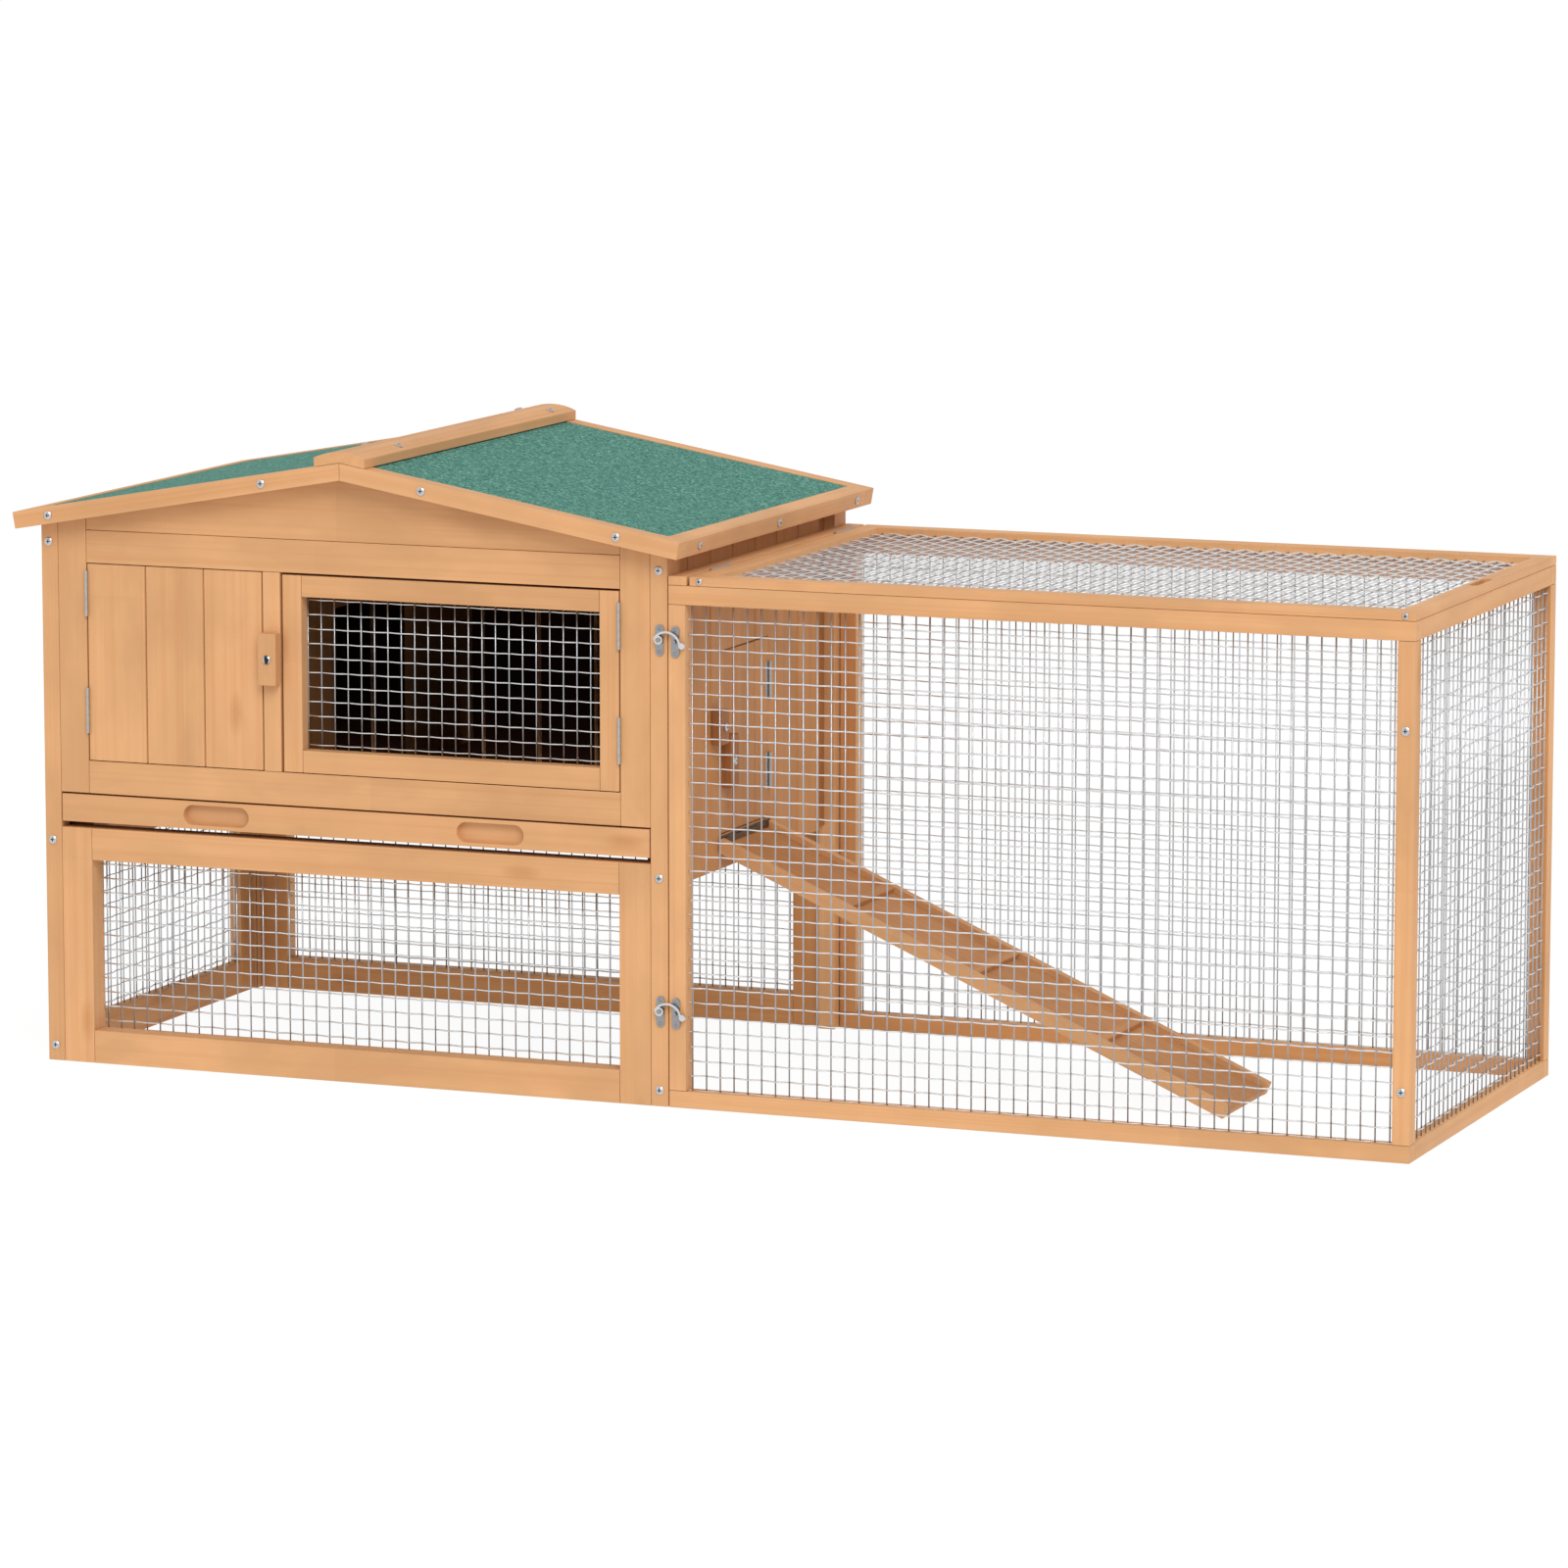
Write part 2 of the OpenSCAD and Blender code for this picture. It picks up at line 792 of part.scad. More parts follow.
module lid_hinge_leaves() {
  color(zinc) centred() at_lid()
    hinge_leaf(lid_hinge_l, door_knuckles, lid_hinge_reach, lid_hinge_size);
}

ramp_knuckles = 7;
// How far the ramp hinge's plates would stand from its axis at size 1.
ramp_jamb_reach = barrel_out - leaf_t - 2 * fit;
ramp_leaf_reach = 1.8;
ramp_end_gap = ramp_hinge_size * (ramp_leaf_reach + leaf_t) + fit;

module ramp_hinge_jamb() {
  color(pine_dark) centred() at_ramp()
    hinge_jamb(ramp_hinge_l, ramp_knuckles, ramp_jamb_reach, ramp_hinge_size);
}

module ramp_hinge_leaf() {
  color(pine_dark) centred() at_ramp()
    hinge_leaf(ramp_hinge_l, ramp_knuckles, ramp_leaf_reach, ramp_hinge_size);
}

// ---- doors -----------------------------------------------------------------

solid_x = [opening_x0 + door_gap, mullion_x[0] - 1.5];
solid_z = [door_z0 + 1, door_head_z - 1];
solid_t = 14;
// Ledges across the back of the boards, clear of the door's edges.
ledge_x = [solid_x[0] + 12, solid_x[1] - 14];
ledge_y = [solid_t + seam, solid_t + 12];
ledge_h = 32;
ledge_z = [solid_z[0] + 24, solid_z[1] - 56];

module solid_door_boards() {
  color(pine) centred() front_boards(solid_x, [0, solid_t], solid_z, 3, door_groove_w);
}

module solid_door_ledges() {
  color(pine_dark) centred() for (z = ledge_z) {
    bar(ledge_x, ledge_y, [z, z + ledge_h]);
  }
}

mesh_door_x = [mullion_x[1] + 3.2, opening_x1 - door_gap];
mesh_door_z = [door_z0 + 1, door_head_z - 2.5];
mesh_stile = 22;
mesh_rail = 23;

module mesh_door_frame() {
  color(pine) centred()
    frame_xz(mesh_door_x, [0, door_t], mesh_door_z, mesh_stile, mesh_rail, mesh_rail + 1);
}

module mesh_door_mesh() {
  sheet_xz([mesh_door_x[0] + mesh_stile, mesh_door_x[1] - mesh_stile], door_t - 3,
    [mesh_door_z[0] + mesh_rail + 1, mesh_door_z[1] - mesh_rail]);
}

hatch_door_y = [hatch_y[0] + 1, hatch_y[1] - door_gap];
hatch_door_z = [hatch_z[0] + 1.5, hatch_z[1] - 1.5];

// The door's boards line up with the wall's.
module side_door_boards() {
  color(pine) centred()
    wall_boards(right_wall_x, hatch_door_y[0], hatch_door_y[1],
      first_board_y + 2 * board_pitch, board_pitch, hatch_door_z);
}

handle_t = 11;
handle_y = [163.6, 186];
handle_z = [318.8, 375.8];

module side_door_handle() {
  color(pine) centred()
    bar([right_wall_x[1] + fit, right_wall_x[1] + handle_t], handle_y, handle_z);
}

module handle_screw() {
  color(zinc) centred()
    translate([right_wall_x[1] + handle_t, (handle_y[0] + handle_y[1]) / 2,
      (handle_z[0] + handle_z[1]) / 2])
      rotate([0, 90, 0]) screw_head();
}

// ---- turn buttons ----------------------------------------------------------

button_w = 21;
button_t = 12;
// Air under the block, and under its screw's head.
button_air = 1;
pivot_air = 0.3;
pivot_r = 1.9;
front_button_pos = [(mullion_x[0] + mullion_x[1]) / 2, 456.9];
side_button_pos = [142.8, 388];
side_button_l = 37;

// A block lying on the xy plane, its length along y, bored for its pivot screw.
module turn_button(length) {
  difference() {
    bar([-button_w / 2, button_w / 2], [-length / 2, length / 2], [button_air, button_air + button_t]);
    cylinder(r = pivot_r + fit, h = button_t + 3 * cut);
  }
}

module pivot_screw() {
  head_z = button_air + button_t + pivot_air;
  cylinder(r = pivot_r, h = head_z + rim_h);
  translate([0, 0, head_z]) screw_head();
}

module at_front_button() {
  translate([front_button_pos[0], 0, front_button_pos[1]]) rotate([90, 0, 0]) children();
}

module at_side_button() {
  translate([right_wall_x[1], side_button_pos[0], side_button_pos[1]]) rotate([90, 0, 90]) children();
}

module front_turn_button() {
  color(pine) centred() at_front_button() turn_button(button_l);
}

module side_turn_button() {
  color(pine) centred() at_side_button() turn_button(side_button_l);
}

post_screw_z = [17.2, 244.6, 572];
run_screw_z = [73.4, 445];

// Screws through the posts and the run's end stiles, front and back, and the two
// that the turn buttons pivot on.
module frame_screws() {
  color(zinc) centred() {
    for (x = [post_w / 2 - 1, house_w - post_w / 2], z = post_screw_z) {
      front_screw(x, z);
      back_screw(x, z);
    }
    for (z = run_screw_z) {
      front_screw(run_x1 - run_stile / 2, z);
      back_screw(run_x1 - run_stile / 2, z);
    }
    at_front_button() pivot_screw();
    at_side_button() pivot_screw();
  }
}

// ---- hook latches ----------------------------------------------------------

latch_z = [103, 499.2];
latch_x = house_w - 8.3;
plate_t = 1.4;
plate_w = 9;
// The plates' extents below and above their pivot or stud.
hinge_plate_z = [-17.2, 16];
catch_plate_z = [-18.5, 15];
catch_x = 17.8;
stud_z = -1.5;
stud_r = 2.2;
stud_h = 6.4;
arm_y = [3, 5.6];
hook_pin_r = 1.8;
rivet_r = 2.6;
// The plates' small screws: radii of foot and crown, height, and inset from the ends.
plate_screw_r = [1.9, 1.2];
plate_screw_h = 0.9;
plate_screw_in = 4.2;

module at_latch(z) {
  translate([latch_x, 0, z]) rotate([90, 0, 0]) children();
}

// A thin plate with round ends, reaching over a range of z.
module rounded_plate(x, z) {
  translate([x, (z[0] + z[1]) / 2, fit]) linear_extrude(plate_t) slot(plate_w, z[1] - z[0]);
  for (at = shrunk_by(z, plate_screw_in)) {
    translate([x, at, fit + plate_t])
      cylinder(r1 = plate_screw_r[0], r2 = plate_screw_r[1], h = plate_screw_h);
  }
}

// The pivot plate on the post with its pin, and the catch plate on the run with its stud.
module latch_plates() {
  color(zinc) centred() for (z = latch_z) {
    at_latch(z) {
      rounded_plate(0, hinge_plate_z);
      translate([0, 0, fit]) cylinder(r = hook_pin_r, h = arm_y[1] + pivot_air);
      translate([0, 0, arm_y[1] + pivot_air]) cylinder(r = rivet_r, h = 1);
      rounded_plate(catch_x, catch_plate_z);
      translate([catch_x, stud_z, fit]) cylinder(r = stud_r, h = stud_h);
    }
  }
}

// The hook's arm is an arc about a point beside the pivot, between two angles.
arm_centre = [9, -6.8];
arm_r = 15.5;
arm_w = 2.2;
arm_angles = [8, 151];
eye_r = 4.7;
tip_r = 3.4;
tip_pos = arm_centre + (arm_r + 2) * [cos(5), sin(5)];

// A sector of the plane, wide enough to cut the arm from its ring.
module sector(angles, r) {
  step = (angles[1] - angles[0]) / 6;
  polygon(concat([[0, 0]], [for (a = [angles[0]:step:angles[1]]) r * [cos(a), sin(a)]]));
}

// The hooked arm: an eye round the pin, a bow over the stud and a thumb tip.
module hook_arm() {
  arm_t = arm_y[1] - arm_y[0];
  translate([0, 0, arm_y[0]]) difference() {
    linear_extrude(arm_t) {
      circle(eye_r);
      translate(arm_centre) intersection() {
        difference() {
          circle(arm_r + arm_w / 2);
          circle(arm_r - arm_w / 2);
        }
        sector(arm_angles, 2 * arm_r);
      }
      translate(tip_pos) circle(tip_r);
    }
    translate([0, 0, -cut]) cylinder(r = hook_pin_r + fit, h = arm_t + 2 * cut);
  }
}

module lower_hook() {
  color(zinc) centred() at_latch(latch_z[0]) hook_arm();
}

module upper_hook() {
  color(zinc) centred() at_latch(latch_z[1]) hook_arm();
}

// ---- tray ------------------------------------------------------------------

tray_x = [stile_x0 + 1, stile_x1 - 1];
tray_front_t = 14;
tray_y = [tray_front_t + seam, back_y - 8];
pan_t = 5;
rim_w = 8;
pan_rim = 10;
grip_l = 78;
grip_h = 22;
grip_deep = 8;
grip_x = [206.5, 530];

module tray_front() {
  color(pine) centred() difference() {
    bar(tray_x, [0, tray_front_t], [tray_z, tray_z + tray_h]);
    // The finger recesses.
    for (x = grip_x) {
      translate([x, -cut, tray_z + tray_h / 2]) rotate([-90, 90, 0])
        linear_extrude(grip_deep + cut) slot(grip_h, grip_l);
    }
  }
}

// The tray's floor with low side and back rims.
module tray_pan() {
  rim_z = [tray_z + pan_t + seam, tray_z + pan_t + seam + pan_rim];
  color(pine_dark) centred() {
    bar(tray_x, tray_y, [tray_z, tray_z + pan_t]);
    bar([tray_x[0], tray_x[0] + rim_w], tray_y, rim_z);
    bar([tray_x[1] - rim_w, tray_x[1]], tray_y, rim_z);
    bar(shrunk_by(tray_x, rim_w + seam), [tray_y[1] - rim_w, tray_y[1]], rim_z);
  }
}

// ---- ramp ------------------------------------------------------------------

floor_air = 0.2;
// Heights of the side rails and of the tread between them, from the hinge's axis.
rail_w = [-0.3 - ramp_t, -0.3];
tread_w = [rail_w[0] + 1, rail_w[0] + 8];
ramp_len = (ramp_axis[1] + rail_w[0] * cos(ramp_slope) - floor_air) / sin(ramp_slope);
ramp_rail_t = 11;
ramp_y1 = ramp_y0 + ramp_w;
tread_y = [ramp_y0 + ramp_rail_t + seam, ramp_y1 - ramp_rail_t - seam];
cleat_half = 6;

// A point t down the ramp from its hinge axis and w above the axis.
function ramp_pt(t, w) = [ramp_axis[0] + t * cos(ramp_slope) + w * sin(ramp_slope),
  ramp_axis[1] - t * sin(ramp_slope) + w * cos(ramp_slope)];
// The ramp's upper end is cut upright, to lie along the wall.
function ramp_start(w) = (ramp_end_gap - w * sin(ramp_slope)) / cos(ramp_slope);

// Section of the ramp between distances a and b at its lower face, c and d at its upper.
module ramp_section(a, b, c, d, w) {
  polygon([ramp_pt(a, w[0]), ramp_pt(b, w[0]), ramp_pt(d, w[1]), ramp_pt(c, w[1])]);
}

module ramp_board() {
  color(pine) centred() along_y(tread_y[0], tread_y[1])
    ramp_section(ramp_start(tread_w[0]), ramp_len, ramp_start(tread_w[1]), ramp_len, tread_w);
}

module ramp_rails() {
  color(pine) centred() for (y = [ramp_y0, ramp_y1 - ramp_rail_t]) {
    along_y(y, y + ramp_rail_t)
      ramp_section(ramp_start(rail_w[0]), ramp_len, ramp_start(rail_w[1]), ramp_len, rail_w);
  }
}

// Cleats across the tread, a quarter of its length apart.
module ramp_cleats() {
  color(pine) centred() for (i = [1:3]) {
    t0 = i * ramp_len / 4 - cleat_half;
    t1 = t0 + 2 * cleat_half;
    along_y(tread_y[0], tread_y[1])
      ramp_section(t0, t1, t0, t1, [tread_w[1] + fit, rail_w[1] - 0.5]);
  }
}

// ---- parts -----------------------------------------------------------------

corner_posts();
upper_front_frame();
door_mullion();
front_gable();
left_wall();
right_wall();
back_wall();
partition();
tray_runners();
lower_front_frame();
lower_front_mesh();
lower_left_frame();
lower_left_mesh();
lower_back_frame();
lower_back_mesh();
roof_decks();
roof_felts();
barge_boards();
eave_boards();
ridge_cap();
run_front_frame();
run_back_frame();
run_end_frame();
hinge_batten();
run_front_mesh();
run_back_mesh();
run_end_mesh();
frame_screws();
roof_screws();
hinge_pins();
solid_door_hinge_jambs();
mesh_door_hinge_jambs();
side_door_hinge_jambs();
lid_hinge_jambs();
ramp_hinge_jamb();
latch_plates();
solid_door_boards();
solid_door_ledges();
solid_door_hinge_leaves();
mesh_door_frame();
mesh_door_mesh();
mesh_door_hinge_leaves();
side_door_boards();
side_door_handle();
handle_screw();
side_door_hinge_leaves();
lid_frame();
lid_mesh();
lid_screws();
lid_hinge_leaves();
tray_front();
tray_pan();
ramp_board();
ramp_rails();
ramp_cleats();
ramp_hinge_leaf();
front_turn_button();
side_turn_button();
upper_hook();
lower_hook();
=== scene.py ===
"""The looks of the rabbit hutch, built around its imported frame.

Every wooden solid of the frame is made again as a board with eased edges and its own
grain, the flat sheets that stand for wire become woven wire, and the roof gets its felt.
Metres, in the frame's own axes: x from the house to the run, y from front to back.
"""
import json
import math
import random

import bmesh
import bpy
import numpy as np
from mathutils import Matrix, Vector


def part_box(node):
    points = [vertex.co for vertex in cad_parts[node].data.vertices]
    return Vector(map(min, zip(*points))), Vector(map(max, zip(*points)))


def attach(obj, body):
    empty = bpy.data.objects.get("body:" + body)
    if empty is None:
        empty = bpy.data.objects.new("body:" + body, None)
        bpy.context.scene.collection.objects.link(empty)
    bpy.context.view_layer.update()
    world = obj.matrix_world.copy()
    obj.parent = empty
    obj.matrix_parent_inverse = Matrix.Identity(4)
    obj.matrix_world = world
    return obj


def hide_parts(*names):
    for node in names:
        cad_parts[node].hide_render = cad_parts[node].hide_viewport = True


MM = 0.001
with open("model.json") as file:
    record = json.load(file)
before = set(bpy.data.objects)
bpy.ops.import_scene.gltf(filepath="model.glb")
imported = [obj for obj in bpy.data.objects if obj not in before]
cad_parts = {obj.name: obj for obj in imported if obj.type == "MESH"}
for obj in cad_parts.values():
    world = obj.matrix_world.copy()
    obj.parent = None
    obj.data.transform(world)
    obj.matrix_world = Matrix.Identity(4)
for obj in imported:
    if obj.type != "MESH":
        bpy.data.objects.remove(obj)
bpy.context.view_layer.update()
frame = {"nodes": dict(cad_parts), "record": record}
BODY_OF = {n: b for b, ns in frame["record"]["behaviour"]["bodies"].items() for n in ns}
SLOT_OF = {s["node"]: s["material_slot"] for s in frame["record"]["subparts"]}


# ---- camera, light and floor --------------------------------------------------

CAMERA_AT = (2.9132, -7.3313, 1.5029)
CAMERA_AZIMUTH = math.radians(21.68)
CAMERA_ELEVATION = math.radians(8.59)
LENS_MM = 168.9
SENSOR_MM = 36.0
SKY_STRENGTH = 0.74
# Each sun: where it stands, its strength and its width in degrees.
SUNS = {"key": ((0.42, -0.62, 0.66), 1.55, 32), "fill": ((-0.7, -0.5, 0.5), 0.25, 60)}
# The floor glows by itself and hardly takes a shadow.
FLOOR_ALBEDO = 0.06
FLOOR_GLOW = 0.95
FLOOR_HALF = 60
FLOOR_DROP = 0.5 * MM


def make_camera():
    """A long lens in front of the run, looking a little down at the house."""
    data = bpy.data.cameras.new("camera")
    data.lens = LENS_MM
    data.sensor_width = SENSOR_MM
    data.clip_end = 200
    camera = bpy.data.objects.new("camera", data)
    camera.location = CAMERA_AT
    camera.rotation_euler = (math.pi / 2 - CAMERA_ELEVATION, 0, CAMERA_AZIMUTH)
    bpy.context.scene.collection.objects.link(camera)
    bpy.context.scene.camera = camera


def make_sun(name, towards, strength, angle):
    """A soft sun that stands in the given direction from the hutch."""
    data = bpy.data.lights.new(name, "SUN")
    data.energy = strength
    data.angle = math.radians(angle)
    sun = bpy.data.objects.new(name, data)
    sun.rotation_mode = "QUATERNION"
    sun.rotation_quaternion = Vector(towards).to_track_quat("Z", "Y")
    bpy.context.scene.collection.objects.link(sun)


def make_studio():
    """A white sky, two soft suns and a pale floor."""
    world = bpy.data.worlds.new("studio")
    world.use_nodes = True
    background = world.node_tree.nodes["Background"]
    background.inputs["Color"].default_value = (1.0, 1.0, 1.0, 1)
    background.inputs["Strength"].default_value = SKY_STRENGTH
    bpy.context.scene.world = world
    bpy.context.scene.view_settings.view_transform = "Standard"
    for name, (towards, strength, angle) in SUNS.items():
        make_sun(name, towards, strength, angle)

    half = FLOOR_HALF
    mesh = bpy.data.meshes.new("floor")
    mesh.from_pydata([(-half, -half, 0), (half, -half, 0), (half, half, 0), (-half, half, 0)],
                     [], [(0, 1, 2, 3)])
    floor = bpy.data.objects.new("floor", mesh)
    floor.location.z = -FLOOR_DROP
    material = bpy.data.materials.new("floor")
    material.use_nodes = True
    shader = material.node_tree.nodes["Principled BSDF"]
    shader.inputs["Base Color"].default_value = (FLOOR_ALBEDO, FLOOR_ALBEDO, FLOOR_ALBEDO, 1)
    shader.inputs["Roughness"].default_value = 1.0
    shader.inputs["Specular IOR Level"].default_value = 0.0
    shader.inputs["Emission Color"].default_value = (1.0, 1.0, 1.0, 1)
    shader.inputs["Emission Strength"].default_value = FLOOR_GLOW
    mesh.materials.append(material)
    bpy.context.scene.collection.objects.link(floor)


# ---- materials ----------------------------------------------------------------

class Shader:
    """A short way to write a material's nodes."""

    def __init__(self, name):
        self.material = bpy.data.materials.new(name)
        self.material.use_nodes = True
        self.tree = self.material.node_tree
        self.bsdf = self.tree.nodes["Principled BSDF"]

    def node(self, kind, inputs=None, **settings):
        made = self.tree.nodes.new("ShaderNode" + kind)
        for key, value in settings.items():
            setattr(made, key, value)
        for key, value in (inputs or {}).items():
            self.set(made.inputs[key], value)
        return made

    def set(self, socket, value):
        if isinstance(value, bpy.types.NodeSocket):
            self.tree.links.new(value, socket)
        else:
            socket.default_value = value

    def attribute(self, name, output="Vector"):
        return self.node("Attribute", attribute_name=name).outputs[output]

    def noise(self, vector, scale, detail=2.0, roughness=0.5, distortion=0.0):
        return self.node("TexNoise", {
            "Vector": vector, "Scale": scale, "Detail": detail, "Roughness": roughness,
            "Distortion": distortion}).outputs["Fac"]

    def stretch(self, vector, factors):
        return self.node("VectorMath", {0: vector, 1: factors}, operation="MULTIPLY").outputs[0]

    def math(self, operation, a, b=0.0):
        return self.node("Math", {0: a, 1: b}, operation=operation).outputs[0]

    def span(self, value, low, high, to_low=0.0, to_high=1.0):
        return self.node("MapRange", {
            "Value": value, "From Min": low, "From Max": high, "To Min": to_low,
            "To Max": to_high}).outputs[0]

    def mix(self, share, a, b, blend="MIX"):
        """Two colours; the mix node keeps its colour sockets at 6, 7 and 2."""
        made = self.node("Mix", {0: share, 6: a, 7: b}, data_type="RGBA", blend_type=blend)
        return made.outputs[2]

    def bump(self, height, distance, strength):
        return self.node("Bump", {
            "Height": height, "Distance": distance, "Strength": strength}).outputs[0]

    def finish(self, **inputs):
        for key, value in inputs.items():
            self.set(self.bsdf.inputs[key.replace("_", " ")], value)
        return self.material


def rgb(r, g, b):
    return (r, g, b, 1.0)


def scaled(colour, k):
    """The colour, lighter or darker by a factor."""
    return rgb(*(min(c * k, 1.0) for c in colour[:3]))


BLOCKS_PER_METRE = 2.7
# Of the cells that may hold a knot, the share that holds none.
KNOTLESS = 0.78


def pine(name, base):
    """Stained pine in the given colour; the darker colours are painted shade. The grain
    attribute runs along each board, so every board has its own.
    """
    s = Shader(name)
    grain = s.attribute("grain")
    tone = s.attribute("tone", "Fac")

    # Boards are finger jointed from shorter blocks that differ a little in tone.
    along = s.node("SeparateXYZ", {0: grain}).outputs[0]
    block = s.math("FLOOR", s.math("MULTIPLY", along, BLOCKS_PER_METRE))
    block_tone = s.node("TexWhiteNoise", {"W": block}, noise_dimensions="1D").outputs["Value"]

    # Soft blotches where the stain took, straight streaks of late wood and fine fibres.
    blotch = s.noise(s.stretch(grain, (7, 16, 16)), 1.0, 3, 0.55, 0.3)
    streak = s.noise(s.stretch(grain, (1.3, 120, 120)), 1.0, 3, 0.6)
    line = s.noise(s.stretch(grain, (0.9, 330, 330)), 1.0, 2, 0.5)
    fibre = s.noise(s.stretch(grain, (55, 1900, 1900)), 1.0, 2, 0.5)

    # A faint knot here and there.
    cell = s.node("TexVoronoi", {
        "Vector": s.stretch(grain, (4.0, 11.0, 0.0)), "Scale": 1.0, "Randomness": 1.0},
        voronoi_dimensions="2D")
    chance = s.node("SeparateXYZ", {0: cell.outputs["Color"]}).outputs[0]
    rare = s.math("GREATER_THAN", chance, KNOTLESS)
    knot = s.math("MULTIPLY", s.span(cell.outputs["Distance"], 0.03, 0.11, 1.0, 0.0), rare)

    light = scaled(base, 1.05)
    dark = rgb(base[0] * 0.86, base[1] * 0.76, base[2] * 0.68)
    knot_brown = rgb(base[0] * 0.6, base[1] * 0.42, base[2] * 0.27)
    colour = s.mix(s.span(blotch, 0.36, 0.66), light, scaled(base, 0.89))
    colour = s.mix(s.span(streak, 0.45, 0.75, 0.0, 0.5), colour, dark)
    colour = s.mix(s.span(line, 0.52, 0.72, 0.0, 0.34), colour, dark)
    colour = s.mix(s.span(fibre, 0.45, 0.75, 0.0, 0.14), colour, dark)
    colour = s.mix(s.math("MULTIPLY", knot, 0.34), colour, knot_brown)
    shade = s.math("ADD", s.span(block_tone, 0, 1, 0.955, 1.02), s.span(tone, 0, 1, -0.05, 0.07))
    grey = s.node("CombineXYZ", {0: shade, 1: shade, 2: shade}).outputs[0]
    colour = s.mix(1.0, colour, grey, "MULTIPLY")
    relief = s.math("ADD", s.math("MULTIPLY", fibre, 0.5), s.math("MULTIPLY", line, 0.5))
    return s.finish(Base_Color=colour, Roughness=s.span(streak, 0.3, 0.8, 0.46, 0.62),
                    Specular_IOR_Level=0.12, Normal=s.bump(relief, 0.2 * MM, 0.5))


def galvanised(name, base, roughness, grime=0.25):
    """Zinc, slightly mottled."""
    s = Shader(name)
    place = s.node("TexCoord").outputs["Object"]
    spangle = s.noise(place, 260, 3, 0.6)
    cloud = s.noise(place, 30, 2, 0.5)
    colour = s.mix(s.span(spangle, 0.35, 0.7, 0.0, grime), base, scaled(base, 0.72))
    colour = s.mix(s.span(cloud, 0.4, 0.7, 0.0, grime), colour, scaled(base, 0.85))
    return s.finish(Base_Color=colour, Metallic=1.0,
                    Roughness=s.span(spangle, 0.3, 0.7, roughness - 0.06, roughness + 0.08),
                    Normal=s.bump(spangle, 0.05 * MM, 0.3))


def mineral_felt():
    """Green roofing felt with its mineral grit: light and dark grains on a matt ground."""
    s = Shader("mineral_felt")
    place = s.node("TexCoord").outputs["Object"]
    grit = s.node("TexVoronoi", {"Vector": place, "Scale": 460.0, "Randomness": 1.0})
    speck = s.node("SeparateXYZ", {0: grit.outputs["Color"]}).outputs[0]
    cluster = s.noise(place, 260, 3, 0.7)
    patch = s.noise(place, 9, 3, 0.6)
    ground = rgb(0.062, 0.205, 0.160)
    pale = rgb(0.215, 0.435, 0.355)
    deep = rgb(0.020, 0.080, 0.062)
    colour = s.mix(s.span(speck, 0.62, 0.95, 0.0, 0.85), ground, pale)
    colour = s.mix(s.span(speck, 0.34, 0.05, 0.0, 0.7), colour, deep)
    colour = s.mix(s.span(cluster, 0.56, 0.74, 0.0, 0.55), colour, pale)
    colour = s.mix(s.span(cluster, 0.44, 0.28, 0.0, 0.55), colour, deep)
    colour = s.mix(s.span(patch, 0.35, 0.7, 0.0, 0.18), colour, ground)
    height = s.math("ADD", s.math("MULTIPLY", grit.outputs["Distance"], -0.6),
                    s.math("MULTIPLY", cluster, 0.7))
    return s.finish(Base_Color=colour, Roughness=0.94, Specular_IOR_Level=0.18,
                    Normal=s.bump(height, 0.6 * MM, 0.8))


# ---- mesh making ----------------------------------------------------------------

class Pile:
    """Vertices, faces and point attributes gathered for one mesh."""

    def __init__(self):
        self.verts, self.faces, self.slots = [], [], []
        self.points = {"grain": [], "tone": []}

    def add(self, verts, faces, slot=0, grain=None, tone=None):
        start = len(self.verts)
        self.verts.extend(verts)
        self.faces.extend(tuple(start + i for i in f) for f in faces)
        self.slots.extend([slot] * len(faces) if isinstance(slot, int) else slot)
        if grain is not None:
            self.points["grain"].extend(grain)
            self.points["tone"].extend([tone] * len(verts))

    def object(self, name, materials, smooth=False):
        mesh = bpy.data.meshes.new(name)
        mesh.from_pydata([tuple(v) for v in self.verts], [], self.faces)
        for material in materials:
            mesh.materials.append(material)
        mesh.polygons.foreach_set("material_index", self.slots)
        if self.points["grain"]:
            data = mesh.attributes.new("grain", "FLOAT_VECTOR", "POINT").data
            data.foreach_set("vector", np.array(self.points["grain"], np.float32).ravel())
            data = mesh.attributes.new("tone", "FLOAT", "POINT").data
            data.foreach_set("value", np.array(self.points["tone"], np.float32))
        if smooth:
            mesh.shade_smooth()
        made = bpy.data.objects.new(name, mesh)
        bpy.context.scene.collection.objects.link(made)
        return made


WELD = 0.005 * MM
FLAT = math.radians(1)
SHARP = math.radians(30)


